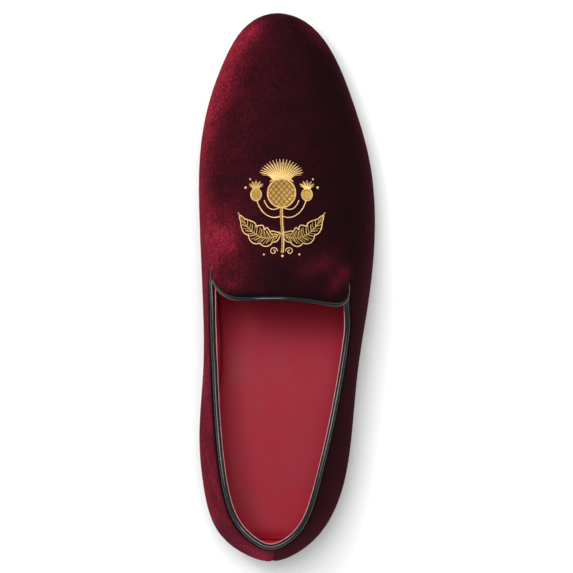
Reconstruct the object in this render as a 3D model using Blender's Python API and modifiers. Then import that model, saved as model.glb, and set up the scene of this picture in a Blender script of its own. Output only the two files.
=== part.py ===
"""Velvet slipper loafer for the right foot.

Metres, +Z up. +X runs to the toe and +Y to the inner side of the foot. The origin is
on the floor, under the middle of the shoe's outline.
"""

import math

import bmesh
import bpy
import numpy as np
from mathutils import Vector

MM = 0.001

# Lengths of the whole shoe.
LENGTH = 300 * MM
BALL_WIDTH = 96.4 * MM
INSTEP_HEIGHT = 74 * MM
BACK_HEIGHT = 57 * MM

# Sole and heel.
SOLE_THICKNESS = 4.5 * MM
SOLE_MARGIN = 1.2 * MM
HEEL_HEIGHT = 14 * MM
HEEL_TAPER = 1.5 * MM
TOE_SPRING = 9 * MM
BREAST_STATION = 0.27
TREAD_START = 0.60
TREAD_END = 0.74

# Upper wall, insole board and the clearance that glued pieces keep.
WALL = 2.2 * MM
INSOLE_THICKNESS = 3 * MM
INSOLE_GAP = 0.8 * MM
CLEARANCE = 0.3 * MM

# The heel leans forward above its bulge, and heel and toe tuck in below theirs.
BACK_LEAN = 6 * MM
BACK_TUCK = 4 * MM
TOE_TUCK = 4 * MM
BACK_REACH = 0.25
TOE_REACH = 0.10
UNDERCUT = math.radians(60)

# Throat tab, with a slit along each side of it. Drops and corners are by side.
THROAT_STATION = 0.486
THROAT_DROP = {"inner": 1.0 * MM, "outer": 4.5 * MM}
CORNER_GIRTH = {"inner": 20 * MM, "outer": 9 * MM}
CORNER_RISE = {"inner": 9 * MM, "outer": 6 * MM}
CORNER_ROUND = {"inner": 1.3, "outer": 2.0}
MOUTH_STATION = 0.470
SLIT_END = 0.546

# Leather piping on the collar and the tab, thinner where two runs share a slit.
PIPING_RADIUS = 1.15 * MM
SLIT_PIPING_RADIUS = 0.75 * MM
SLIT_GAP = 4 * SLIT_PIPING_RADIUS + 4 * CLEARANCE
PIPED_SHARE = 0.8

# One row for each section of the last, heel to toe. The station is a share of LENGTH,
# and the edges and the ridge are shares of BALL_WIDTH, off the shoe's axis and positive
# to the inner side. The foot columns say how much of the half width the sole's edge
# keeps. Bulge and crest are shares of INSTEP_HEIGHT over the sole, and the full columns
# are the exponents of each side's round, which are the same where the two sides meet.
SECTION_COLUMNS = (
    "station", "inner_edge", "outer_edge", "inner_foot", "outer_foot",
    "bulge", "crest", "ridge", "inner_full", "outer_full",
)
SECTIONS = (
    (0.000, 0.091, 0.091, 0.90, 0.90, 0.19, 1.07, 0.091, 1.65, 1.65),
    (0.010, 0.215, -0.030, 0.90, 0.90, 0.19, 1.07, 0.091, 1.56, 1.80),
    (0.050, 0.378, -0.188, 0.90, 0.90, 0.19, 1.07, 0.090, 1.56, 1.66),
    (0.140, 0.472, -0.324, 0.89, 0.90, 0.19, 1.06, 0.088, 1.50, 1.37),
    (0.230, 0.494, -0.370, 0.85, 0.90, 0.20, 1.05, 0.070, 1.46, 1.36),
    (0.360, 0.471, -0.410, 0.80, 0.88, 0.26, 1.04, 0.048, 1.80, 1.53),
    (0.490, 0.477, -0.465, 0.86, 0.90, 0.25, 1.00, 0.044, 2.55, 1.88),
    (0.620, 0.494, -0.499, 0.92, 0.93, 0.18, 0.80, 0.044, 2.60, 2.00),
    (0.730, 0.494, -0.473, 0.93, 0.93, 0.16, 0.67, 0.044, 2.35, 2.10),
    (0.820, 0.454, -0.397, 0.93, 0.93, 0.15, 0.58, 0.042, 2.20, 2.10),
    (0.910, 0.359, -0.290, 0.93, 0.93, 0.13, 0.47, 0.042, 2.10, 2.10),
    (0.970, 0.252, -0.158, 0.93, 0.93, 0.12, 0.33, 0.048, 2.00, 2.00),
    (1.000, 0.051, 0.051, 0.93, 0.93, 0.11, 0.11, 0.051, 2.00, 2.00),
)

# Height of the collar over the sole, as a share of BACK_HEIGHT, and on to the slit's end.
COLLAR_COLUMNS = ("station", "height")
COLLAR = (
    (0.000, 1.00),
    (0.050, 0.96),
    (0.140, 0.83),
    (0.230, 0.74),
    (0.320, 0.71),
    (0.400, 0.765),
    (0.476, 0.85),
    (0.546, 0.875),
)

# Mesh counts: columns along the shoe, rows up its side.
REAR_COLUMNS = 15
SLIT_COLUMNS = 6
FRONT_COLUMNS = 15
FOOT_ROWS = 3
WALL_ROWS = 5
TAB_ROWS = 8
SOLE_COLUMNS = 34
SOLE_ROWS = 6
HEEL_COLUMNS = 12
COLLAR_POINTS = 30
SLIT_POINTS = 4
TAB_POINTS = 16
PIPING_ROUNDNESS = 2

# Small sizes that every piece shares, and the fades between them.
SOLE_BEVEL = 0.8 * MM
INSOLE_BEVEL = 1.0 * MM
BREAST_HOLLOW = 2 * MM
SOLE_END = 0.008
WELD = 0.001 * MM
SHARP_ANGLE = math.radians(35)
TOE_SWING = math.radians(45)
SLIT_END_ROUND = 8
MOUTH_FADE = 0.35
CORNER_CROWDING = 1.4
STEP = 1e-3

INNER, OUTER = "inner", "outer"
SIDES = (INNER, OUTER)


def natural_spline(knots, values):
    """A smooth curve through the values, straight at its two ends."""
    x = np.array(knots, float)
    y = np.array(values, float)
    h = np.diff(x)
    count = len(x)
    matrix = np.eye(count)
    right = np.zeros(count)
    for i in range(1, count - 1):
        matrix[i, i - 1 : i + 2] = h[i - 1], 2 * (h[i - 1] + h[i]), h[i]
        right[i] = 6 * ((y[i + 1] - y[i]) / h[i] - (y[i] - y[i - 1]) / h[i - 1])
    bend = np.linalg.solve(matrix, right)

    def value(t):
        i = int(np.clip(np.searchsorted(x, t) - 1, 0, count - 2))
        a = (x[i + 1] - t) / h[i]
        b = 1 - a
        curve = ((a**3 - a) * bend[i] + (b**3 - b) * bend[i + 1]) * h[i] ** 2 / 6
        return float(a * y[i] + b * y[i + 1] + curve)

    return value


def round_ends(station):
    """Turns a station into an angle, so that outlines close in a round end."""
    return math.acos(max(-1.0, min(1.0, 1 - 2 * station)))


def station_of(angle):
    return (1 - math.cos(angle)) / 2


def table_curves(columns, rows):
    """One smooth curve for each column of a table, along its stations."""
    knots = [round_ends(row[0]) for row in rows]
    curves = {}
    for index, name in enumerate(columns[1:], start=1):
        curves[name] = natural_spline(knots, [row[index] for row in rows])
    return curves


SECTION_CURVES = table_curves(SECTION_COLUMNS, SECTIONS)
COLLAR_CURVES = table_curves(COLLAR_COLUMNS, COLLAR)
HEEL_BULGE = SECTION_CURVES["bulge"](0.0)


def smooth_step(t):
    t = max(0.0, min(1.0, t))
    return t * t * (3 - 2 * t)


def sole_bottom(station):
    """Height of the sole's underside: heel seat, arch, tread and toe spring."""
    arch = (station - BREAST_STATION) / (TREAD_START - BREAST_STATION)
    spring = max(0.0, (station - TREAD_END) / (1 - TREAD_END))
    return HEEL_HEIGHT * (1 - smooth_step(arch)) + TOE_SPRING * spring**2


def foot_level(station):
    """Height at which the upper meets the top of the sole."""
    return sole_bottom(station) + SOLE_THICKNESS + CLEARANCE


def section(station):
    """The sizes of one section of the last, in metres."""
    angle = round_ends(station)
    row = {name: curve(angle) for name, curve in SECTION_CURVES.items()}
    foot = foot_level(station)
    middle = (row["inner_edge"] + row["outer_edge"]) / 2 * BALL_WIDTH
    bulge = foot + row["bulge"] * INSTEP_HEIGHT
    sizes = {
        "foot": foot,
        "middle": middle,
        "bulge": bulge,
        "crest": max(foot + row["crest"] * INSTEP_HEIGHT, bulge),
        "ridge": row["ridge"] * BALL_WIDTH,
    }
    for side in SIDES:
        edge = row[side + "_edge"] * BALL_WIDTH
        sizes[side + "_edge"] = edge
        sizes[side + "_foot"] = middle + (edge - middle) * row[side + "_foot"]
        sizes[side + "_full"] = row[side + "_full"]
    return sizes


def end_shift(station, height, sizes):
    """How far the ends lean: the back forward, and both ends in under their bulge."""
    above = max(0.0, height - sizes["bulge"]) / (BACK_HEIGHT - HEEL_BULGE * INSTEP_HEIGHT)
    below = max(0.0, sizes["bulge"] - height) / max(sizes["bulge"] - sizes["foot"], MM)
    at_back = max(0.0, 1 - station / BACK_REACH) ** 2
    at_toe = max(0.0, 1 - (1 - station) / TOE_REACH) ** 2
    back = BACK_LEAN * above**1.5 + BACK_TUCK * below**2
    return back * at_back - TOE_TUCK * below**2 * at_toe


def placed(station, across, height, sizes):
    """A point of the last in the shoe's own frame."""
    along = LENGTH * (station - 0.5) + end_shift(station, height, sizes)
    return Vector((along, across, height))


def low_point(station, side, share):
    """A point on the lower wall, from the sole's edge at 0 to the bulge at 1."""
    sizes = section(station)
    edge = sizes[side + "_edge"]
    swing = -UNDERCUT * (1 - share)
    inset = (edge - sizes[side + "_foot"]) / (1 - math.cos(UNDERCUT))
    drop = (sizes["bulge"] - sizes["foot"]) / math.sin(UNDERCUT)
    across = edge - inset * (1 - math.cos(swing))
    return placed(station, across, sizes["bulge"] + drop * math.sin(swing), sizes)


def high_point(station, side, swing):
    """A point above the bulge, from the bulge at swing 0 to the ridge at a quarter turn."""
    sizes = section(station)
    power = 2 / sizes[side + "_full"]
    reach = max(math.cos(swing), 0.0) ** power
    rise = max(math.sin(swing), 0.0) ** power
    across = sizes["ridge"] + (sizes[side + "_edge"] - sizes["ridge"]) * reach
    height = sizes["bulge"] + (sizes["crest"] - sizes["bulge"]) * rise
    return placed(station, across, height, sizes)


def swing_at(station, side, height):
    """The swing at which a side of the section reaches a height over the sole."""
    sizes = section(station)
    span = max(sizes["crest"] - sizes["bulge"], MM)
    share = (sizes["foot"] + height - sizes["bulge"]) / span
    share = max(0.0, min(1.0, share))
    return math.asin(share ** (sizes[side + "_full"] / 2))


def collar_swing(station, side):
    """The swing of the collar line, which keeps on ahead of the slit to the toe."""
    held = min(station, SLIT_END)
    height = COLLAR_CURVES["height"](round_ends(held)) * BACK_HEIGHT
    swing = swing_at(held, side, height)
    ahead = max(0.0, (station - SLIT_END) / (1 - SLIT_END))
    return swing * (1 - ahead) + TOE_SWING * ahead


def slit_share(station):
    """How far along the slit a station lies, from its mouth at 0 to its end at 1."""
    share = (station - MOUTH_STATION) / (SLIT_END - MOUTH_STATION)
    return max(0.0, min(1.0, share))


def tab_swing(station, side):
    """The swing of the tab's side, across the slit from the collar line."""
    swing = collar_swing(station, side)
    width = SLIT_GAP * math.sqrt(1 - slit_share(station) ** SLIT_END_ROUND)
    rise = high_point(station, side, swing + STEP) - high_point(station, side, swing)
    return swing + width * STEP / max(rise.length, STEP * MM)


def wall_frame(station, side, swing):
    """Point and outward normal of the wall above the bulge."""
    point = high_point(station, side, swing)
    held = min(swing, math.pi / 2 - 2 * STEP)
    up = high_point(station, side, held + STEP) - high_point(station, side, held)
    angle = round_ends(station)
    ahead = high_point(station_of(min(angle + STEP, math.pi)), side, swing)
    behind = high_point(station_of(max(angle - STEP, 0.0)), side, swing)
    along = ahead - behind
    normal = up.cross(along) if side == INNER else along.cross(up)
    return point, normal.normalized()


def throat_edge(side, share):
    """Station of the tab's free edge, from the tab's side at 0 to the ridge at 1."""
    start = tab_swing(THROAT_STATION, side)
    swing = start + (math.pi / 2 - start) * share
    at_start = high_point(THROAT_STATION, side, start)
    at_ridge = high_point(THROAT_STATION, side, math.pi / 2)
    girth = (high_point(THROAT_STATION, side, swing) - at_start).length
    off_ridge = 1 - girth / (at_ridge - at_start).length
    corner = max(0.0, 1 - girth / CORNER_GIRTH[side])
    bend = CORNER_ROUND[side]
    rise = CORNER_RISE[side] * (1 - (1 - corner**bend) ** (1 / bend))
    drop = THROAT_DROP[side] * smooth_step(off_ridge)
    return THROAT_STATION + (rise - drop) / LENGTH


def stations_between(first, last, columns):
    """Stations from first to last, closer together towards the shoe's round ends."""
    angles = np.linspace(round_ends(first), round_ends(last), columns + 1)
    return [station_of(angle) for angle in angles]


def side_column(station, side):
    """One column of the quarter, from the sole's edge up to the collar line."""
    top = collar_swing(station, side)
    lower = [low_point(station, side, i / FOOT_ROWS) for i in range(FOOT_ROWS)]
    upper = [high_point(station, side, top * i / WALL_ROWS) for i in range(WALL_ROWS + 1)]
    return lower + upper


def slit_stations(first):
    """Stations from the first to the slit's end, closer together towards that round end."""
    turns = np.linspace(0.0, math.pi / 2, SLIT_COLUMNS + 1)
    return [first + (SLIT_END - first) * math.sin(turn) for turn in turns]


def tab_row(side, share):
    """One line of the vamp from the tab's free edge to the toe."""
    in_slit = slit_stations(throat_edge(side, share))
    ahead = stations_between(SLIT_END, 1.0, FRONT_COLUMNS)[1:]
    row = []
    for station in [*in_slit, *ahead]:
        start = tab_swing(station, side)
        row.append(high_point(station, side, start + (math.pi / 2 - start) * share))
    return row


def add_grid(mesh, rows, flipped=False):
    """Adds a grid of points as quads, turned round where it is flipped."""
    verts = [[mesh.verts.new(point) for point in row] for row in rows]
    for low, high in zip(verts, verts[1:]):
        for corners in zip(low, low[1:], high[1:], high):
            mesh.faces.new(corners[::-1] if flipped else corners)


def object_from(name, mesh, material, collection):
    """Makes a named, smooth-shaded object of a bmesh."""
    data = bpy.data.meshes.new(name)
    mesh.to_mesh(data)
    mesh.free()
    data.materials.append(material)
    data.shade_smooth()
    data.set_sharp_from_angle(angle=SHARP_ANGLE)
    made = bpy.data.objects.new(name, data)
    collection.objects.link(made)
    return made


def add_wall(made, thickness, offset):
    """Gives an open surface its thickness, behind its faces at -1 and before them at 1."""
    wall = made.modifiers.new("wall", "SOLIDIFY")
    wall.thickness = thickness
    wall.offset = offset
    wall.use_even_offset = True
    wall.thickness_clamp = 1.0


def add_bevel(made, width):
    """Softens the sharp edges of a slab."""
    edge = made.modifiers.new("edge", "BEVEL")
    edge.width = width
    edge.segments = 2
    edge.limit_method = "ANGLE"
    edge.angle_limit = SHARP_ANGLE


def finish_material(name, colour, roughness, metallic=0.0):
    material = bpy.data.materials.new(name)
    material.use_nodes = True
    shader = material.node_tree.nodes["Principled BSDF"]
    shader.inputs["Base Color"].default_value = (*colour, 1.0)
    shader.inputs["Roughness"].default_value = roughness
    shader.inputs["Metallic"].default_value = metallic
    material.diffuse_color = (*colour, 1.0)
    return material


def make_upper(collection):
    """The velvet upper: two quarters, and a vamp that ends in the tab."""
    mesh = bmesh.new()
    stations = [
        *stations_between(0.0, MOUTH_STATION, REAR_COLUMNS),
        *slit_stations(MOUTH_STATION)[1:],
        *stations_between(SLIT_END, 1.0, FRONT_COLUMNS)[1:],
    ]
    for side in SIDES:
        columns = [side_column(station, side) for station in stations]
        add_grid(mesh, columns, flipped=side == OUTER)
        shares = [(i / TAB_ROWS) ** CORNER_CROWDING for i in range(TAB_ROWS + 1)]
        tab = [tab_row(side, share) for share in shares]
        add_grid(mesh, tab, flipped=side == INNER)
    bmesh.ops.remove_doubles(mesh, verts=mesh.verts, dist=WELD)
    velvet = finish_material("velvet", (0.16, 0.012, 0.03), 0.85)
    upper = object_from("upper", mesh, velvet, collection)
    add_wall(upper, WALL, -1.0)
    return upper


def sole_edge(station, side, margin):
    """A point of the sole's outline, that far outside the upper's lower edge."""
    sizes = section(station)
    sign = 1 if side == INNER else -1
    spread = margin * math.sin(round_ends(station)) * sign
    point = placed(station, sizes[side + "_foot"] + spread, sizes["foot"], sizes)
    point.x *= 1 + 2 * margin / LENGTH
    return point


def sole_row(station, tip, margin, lift):
    """A row across the sole, bowed out in its middle from its own station to the tip's."""
    inner = sole_edge(station, INNER, margin)
    outer = sole_edge(station, OUTER, margin)
    end = sole_edge(tip, INNER, margin)
    row = []
    for i in range(SOLE_ROWS + 1):
        bow = 1 - (2 * i / SOLE_ROWS - 1) ** 2
        point = inner.lerp(outer, i / SOLE_ROWS)
        point.x += (end.x - point.x) * bow
        point.z = sole_bottom(station + (tip - station) * bow) + lift
        row.append(point)
    return row


def sole_sheet(margin, lift):
    """A sheet in the sole's outline, at that height over the sole's underside."""
    mesh = bmesh.new()
    stations = stations_between(SOLE_END, 1 - SOLE_END, SOLE_COLUMNS)
    tips = [0.0, *stations[1:-1], 1.0]
    add_grid(mesh, [sole_row(*ends, margin, lift) for ends in zip(stations, tips)])
    return mesh


def make_outsole(collection):
    """The leather outsole, flat under the heel and the tread."""
    leather = finish_material("sole_leather", (0.02, 0.018, 0.017), 0.5)
    sheet = sole_sheet(SOLE_MARGIN, 0.0)
    outsole = object_from("outsole", sheet, leather, collection)
    add_wall(outsole, SOLE_THICKNESS, 1.0)
    add_bevel(outsole, SOLE_BEVEL)
    return outsole


def make_insole(collection):
    """The padded insole sock, inside the upper's lower edge."""
    leather = finish_material("insole_leather", (0.33, 0.035, 0.06), 0.45)
    inset = WALL + INSOLE_GAP
    sheet = sole_sheet(-inset, SOLE_THICKNESS + CLEARANCE)
    insole = object_from("insole", sheet, leather, collection)
    add_wall(insole, INSOLE_THICKNESS, 1.0)
    add_bevel(insole, INSOLE_BEVEL)
    return insole


def make_heel(collection):
    """The low heel block under the seat, tapering to its tread."""
    seat = stations_between(0.0, BREAST_STATION, HEEL_COLUMNS)
    inner = [sole_edge(station, INNER, SOLE_MARGIN) for station in seat]
    outer = [sole_edge(station, OUTER, SOLE_MARGIN) for station in seat[1:]]
    breast = inner[-1].lerp(outer[-1], 0.5)
    breast.x -= BREAST_HOLLOW
    outline = [*reversed(inner), *outer, breast]
    centre = sum(outline, Vector()) / len(outline)
    mesh = bmesh.new()
    verts = []
    for point in outline:
        verts.append(mesh.verts.new((point.x, point.y, HEEL_HEIGHT - CLEARANCE)))
    top = mesh.faces.new(verts)
    made = bmesh.ops.extrude_face_region(mesh, geom=[top])["geom"]
    for vert in [part for part in made if isinstance(part, bmesh.types.BMVert)]:
        inward = Vector((centre.x - vert.co.x, centre.y - vert.co.y, 0)).normalized()
        vert.co += inward * HEEL_TAPER
        vert.co.z = 0.0
    bmesh.ops.recalc_face_normals(mesh, faces=mesh.faces)
    leather = finish_material("heel_leather", (0.02, 0.018, 0.017), 0.55)
    heel = object_from("heel", mesh, leather, collection)
    add_bevel(heel, SOLE_BEVEL)
    return heel


def beside_edge(frames, radii):
    """Moves a run of points from the wall's edge to the middle of the piping on it."""
    run = []
    last = len(frames) - 1
    for i, (point, normal) in enumerate(frames):
        along = frames[min(i + 1, last)][0] - frames[max(i - 1, 0)][0]
        outward = normal.cross(along).normalized()
        middle = point - normal * WALL / 2
        run.append(middle + outward * (radii[i] + CLEARANCE))
    return run


def slit_radius(station):
    """The piping's radius: full along the collar, thinner within the slit."""
    share = smooth_step(slit_share(station) / MOUTH_FADE)
    return PIPING_RADIUS * (1 - share) + SLIT_PIPING_RADIUS * share


def collar_run(side):
    """Frames and radii of the collar's edge, from the back seam into the slit."""
    end = MOUTH_STATION + (SLIT_END - MOUTH_STATION) * PIPED_SHARE
    frames = []
    radii = []
    for station in stations_between(0.0, end, COLLAR_POINTS):
        frames.append(wall_frame(station, side, collar_swing(station, side)))
        radii.append(slit_radius(station))
    return frames, radii


def tab_run(side):
    """Frames and radii of the tab's edge, from inside the slit to the ridge."""
    end = MOUTH_STATION + (SLIT_END - MOUTH_STATION) * PIPED_SHARE
    corner = throat_edge(side, 0.0)
    frames = []
    radii = []
    for i in range(SLIT_POINTS):
        station = end + (corner - end) * i / SLIT_POINTS
        frames.append(wall_frame(station, side, tab_swing(station, side)))
        radii.append(SLIT_PIPING_RADIUS)
    for i in range(TAB_POINTS + 1):
        share = (i / TAB_POINTS) ** CORNER_CROWDING
        station = throat_edge(side, share)
        start = tab_swing(station, side)
        frames.append(wall_frame(station, side, start + (math.pi / 2 - start) * share))
        fade = smooth_step(i / TAB_POINTS / MOUTH_FADE)
        radii.append(SLIT_PIPING_RADIUS * (1 - fade) + PIPING_RADIUS * fade)
    return frames, radii


def piping(name, frames, radii, material, collection):
    """A round piping along the wall's edge."""
    curve = bpy.data.curves.new(name, "CURVE")
    curve.dimensions = "3D"
    curve.bevel_depth = 1.0
    curve.bevel_resolution = PIPING_ROUNDNESS
    curve.use_fill_caps = True
    points = beside_edge(frames, radii)
    spline = curve.splines.new("POLY")
    spline.points.add(len(points) - 1)
    for knot, point, radius in zip(spline.points, points, radii):
        knot.co = (*point, 1.0)
        knot.radius = radius
    curve.materials.append(material)
    made = bpy.data.objects.new(name, curve)
    collection.objects.link(made)
    return made


def make_piping(collection):
    """The black piping: one run round the collar, one round the tab."""
    leather = finish_material("piping_leather", (0.012, 0.012, 0.013), 0.4)
    inner, inner_radii = collar_run(INNER)
    outer, outer_radii = collar_run(OUTER)
    # The run starts in the inner slit, passes the back seam and ends in the outer slit.
    frames = inner[::-1] + outer[1:]
    piping("collar_piping", frames, inner_radii[::-1] + outer_radii[1:], leather, collection)
    inner, inner_radii = tab_run(INNER)
    outer, outer_radii = tab_run(OUTER)
    frames = outer + inner[-2::-1]
    piping("tab_piping", frames, outer_radii + inner_radii[-2::-1], leather, collection)


def clear_scene():
    for old in list(bpy.data.objects):
        bpy.data.objects.remove(old, do_unlink=True)


def main():
    clear_scene()
    shoe = bpy.data.collections.new("velvet_slipper_loafer")
    bpy.context.scene.collection.children.link(shoe)
    make_outsole(shoe)
    make_heel(shoe)
    make_insole(shoe)
    make_upper(shoe)
    make_piping(shoe)


main()
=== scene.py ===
"""Looks of the velvet slipper loafer: velvet, lining, piping, gold sprig, sole and heel.

Metres, +Z up. +X runs to the toe and +Y to the inner side of the foot.
"""
import math

import bmesh
import bpy
import numpy as np
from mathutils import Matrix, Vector


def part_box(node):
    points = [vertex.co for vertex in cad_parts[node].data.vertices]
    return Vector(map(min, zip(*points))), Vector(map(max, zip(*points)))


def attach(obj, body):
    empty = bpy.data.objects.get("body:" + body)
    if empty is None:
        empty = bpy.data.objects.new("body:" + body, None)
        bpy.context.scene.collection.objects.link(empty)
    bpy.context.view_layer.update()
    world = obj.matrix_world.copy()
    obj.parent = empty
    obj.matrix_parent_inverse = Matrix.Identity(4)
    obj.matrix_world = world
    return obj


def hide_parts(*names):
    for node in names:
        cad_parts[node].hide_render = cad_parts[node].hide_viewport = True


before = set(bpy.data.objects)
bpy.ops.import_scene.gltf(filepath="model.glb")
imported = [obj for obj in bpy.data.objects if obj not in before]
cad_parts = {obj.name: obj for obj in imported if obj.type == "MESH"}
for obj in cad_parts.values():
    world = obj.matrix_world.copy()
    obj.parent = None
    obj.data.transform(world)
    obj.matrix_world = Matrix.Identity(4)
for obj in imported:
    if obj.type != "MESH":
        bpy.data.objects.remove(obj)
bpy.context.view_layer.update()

MM = 0.001
INNER, OUTER = "inner", "outer"
SIDES = (INNER, OUTER)

# Sizes of the last and the sole. They are those of the solids, but for the back's lean
# and the edges of three sections. The length is the upper's.
upper_low, upper_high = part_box("upper")
LENGTH = upper_high.x - upper_low.x
BALL_WIDTH = 96.4 * MM
INSTEP_HEIGHT = 74 * MM
BACK_HEIGHT = 57 * MM
SOLE_THICKNESS = 4.5 * MM
SOLE_MARGIN = 1.2 * MM
HEEL_HEIGHT = 14 * MM
TOE_SPRING = 9 * MM
BREAST_STATION = 0.27
TREAD_START = 0.60
TREAD_END = 0.74
WALL = 2.2 * MM
CLEARANCE = 0.3 * MM
BACK_LEAN = 6.9 * MM
BACK_TUCK = 4 * MM
TOE_TUCK = 4 * MM
BACK_REACH = 0.25
TOE_REACH = 0.10
UNDERCUT = math.radians(60)
TOE_SWING = math.radians(45)

# Throat tab and slits, by side.
THROAT_STATION = 0.484
THROAT_DROP = {INNER: 1.0 * MM, OUTER: 4.5 * MM}
CORNER_GIRTH = {INNER: 24 * MM, OUTER: 9 * MM}
CORNER_RISE = {INNER: 10.5 * MM, OUTER: 6 * MM}
CORNER_ROUND = {INNER: 1.0, OUTER: 2.0}
MOUTH_STATION = 0.470
SLIT_END = 0.546
SLIT_GAP = 4.5 * MM
SLIT_INSET = {INNER: 0.0, OUTER: 3.0 * MM}
INSET_START = 0.42
TAB_SETBACK = 3.2 * MM
TAB_LIFT = {INNER: 0.3 * MM, OUTER: 1.5 * MM}
LIFT_GIRTH = 19 * MM
PIPED_SHARE = {INNER: 0.97, OUTER: 0.57}
OPEN_SHARE = {INNER: 1.0, OUTER: 0.6}
CLOSING_START = 0.75

SECTION_COLUMNS = (
    "station", "inner_edge", "outer_edge", "inner_foot", "outer_foot",
    "bulge", "crest", "ridge", "inner_full", "outer_full",
)
SECTIONS = (
    (0.000, 0.091, 0.091, 0.90, 0.90, 0.19, 1.07, 0.091, 1.65, 1.65),
    (0.010, 0.215, -0.030, 0.90, 0.90, 0.19, 1.07, 0.091, 1.56, 1.80),
    (0.050, 0.378, -0.188, 0.90, 0.90, 0.19, 1.07, 0.090, 1.56, 1.66),
    (0.140, 0.472, -0.324, 0.89, 0.90, 0.19, 1.06, 0.088, 1.50, 1.37),
    (0.230, 0.494, -0.370, 0.85, 0.90, 0.20, 1.05, 0.070, 1.46, 1.36),
    (0.360, 0.471, -0.410, 0.80, 0.88, 0.26, 1.04, 0.048, 1.80, 1.53),
    (0.490, 0.477, -0.473, 0.86, 0.90, 0.25, 1.00, 0.044, 2.55, 1.88),
    (0.620, 0.494, -0.503, 0.92, 0.93, 0.18, 0.80, 0.044, 2.60, 2.00),
    (0.730, 0.494, -0.473, 0.93, 0.93, 0.16, 0.67, 0.044, 2.35, 2.10),
    (0.820, 0.454, -0.397, 0.93, 0.93, 0.15, 0.58, 0.042, 2.20, 2.10),
    (0.910, 0.359, -0.290, 0.93, 0.93, 0.13, 0.47, 0.042, 2.10, 2.10),
    (0.970, 0.249, -0.163, 0.93, 0.93, 0.12, 0.33, 0.048, 2.00, 2.00),
    (1.000, 0.051, 0.051, 0.93, 0.93, 0.11, 0.11, 0.051, 2.00, 2.00),
)
COLLAR_COLUMNS = ("station", "height")
COLLAR = (
    (0.000, 1.00), (0.050, 0.96), (0.140, 0.83), (0.230, 0.74),
    (0.320, 0.71), (0.400, 0.765), (0.476, 0.85), (0.546, 0.875),
)

# Fine mesh counts, how much rows crowd towards an edge, and the step of a slope.
REAR_COLUMNS, SLIT_COLUMNS, FRONT_COLUMNS = 96, 22, 96
FOOT_ROWS, WALL_ROWS, TAB_ROWS = 12, 32, 44
COLLAR_POINTS, SLIT_POINTS, TAB_POINTS = 150, 26, 90
PIPING_SIDES = 14
SOLE_COLUMNS, SOLE_ROWS, SOCK_ROWS = 120, 22, 30
HEEL_COLUMNS, BREAST_COLUMNS = 40, 16
BEVEL_SEGMENTS = 4
ROW_CROWDING = 1.25
TAB_CROWDING = 1.2
TAB_POINT_CROWDING = 1.5
STEP = 1e-3

# Layers of the wall, from its outer face in, and how its edges are rolled and padded.
VELVET = 1.2 * MM
LINING_DEPTH = 1.4 * MM
LINING = 1.1 * MM
VELVET_WELD = 0.005 * MM
LINING_WELD = 0.05 * MM
EDGE_ROLL = 1.3 * MM
ROLL_SHARE = 0.8
EDGE_PAD = 1.15 * MM
PAD_GIRTH = 13 * MM
CLOSED_GAP = 20 * MM

# Piping, and the lining's raw edge beside it.
PIPING_RADIUS = 1.35 * MM
SLIT_PIPING_RADIUS = 1.1 * MM
PIPING_DEPTH = 1.7 * MM
SLIT_DEPTH_SHARE = 0.5
SLIT_FADE = 0.7
THIN_SHARE = 0.3
PIPING_REACH = 0.6
PIPING_TIP = 5 * MM
TIP_SHARE = 0.25
TIP_SINK = 0.6 * MM
PIPING_SMOOTHING = 12
RAW_EDGE_DEPTH = 3.55 * MM
RAW_EDGE_REACH = 0.45 * MM
RAW_EDGE_RADIUS = 0.25 * MM
RAW_EDGE_SIDES = 6

# Soft bumps and troughs of the vamp, in millimetres and degrees: along, across, half
# length, half width, turn and height.
SOFT_FORMS = (
    (20, 31, 13, 8, 25, 0.5),
    (6, 24, 11, 6, 40, -0.5),
    (4, -25, 9, 7, -35, 0.6),
    (14, -30, 12, 6, -20, -0.4),
    (9, 2, 10, 16, 0, -0.35),
    (82, 12, 14, 22, 15, 0.35),
    (100, -14, 18, 10, -10, -0.25),
)

# Back seam: a slanted groove, and a painted change of sheen across it, as of nap laid two
# ways; lower down the painted sheen is higher and its change across the seam smaller.
SEAM_ACROSS = 7.0 * MM
SEAM_SLANT = -0.03
SEAM_HEIGHT = 50 * MM
SEAM_HALF = 0.7 * MM
SEAM_DEPTH = 0.6 * MM
SEAM_FRONT = -125 * MM
SEAM_FADE = 10 * MM
BACK_FADE = 16 * MM
SEAM_SHEEN_BLUR = 0.5 * MM
BACK_TOP = 60 * MM
BACK_SPAN = 30 * MM
BACK_SHEEN = 0.02
BACK_SHEEN_RISE = 0.16
SEAM_SHEEN_CONTRAST = 0.5
SHEEN_CONTRAST_LOSS = 0.24

# Painted light and sheen by the way a face looks, lit towards the inner side and with a
# painted sheen on steep outer faces: strength, start and span of a rise.
PAINTED_LIGHT_INWARD = (0.27, -0.75, 1.1)
PAINTED_LIGHT_INNER_SIDE = (0.36, 0.6, 0.38)
PAINTED_SHEEN_STEEP = (0.2, 0.25, -0.4)
PAINTED_LIGHT_CAP = 0.88
# Painted shade: the velvet darkens near its open edges, where it rolls in beside the piping.
PAINTED_EDGE_SHADE = 0.7
PAINTED_EDGE_SHADE_GIRTH = 1.3 * MM
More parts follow.
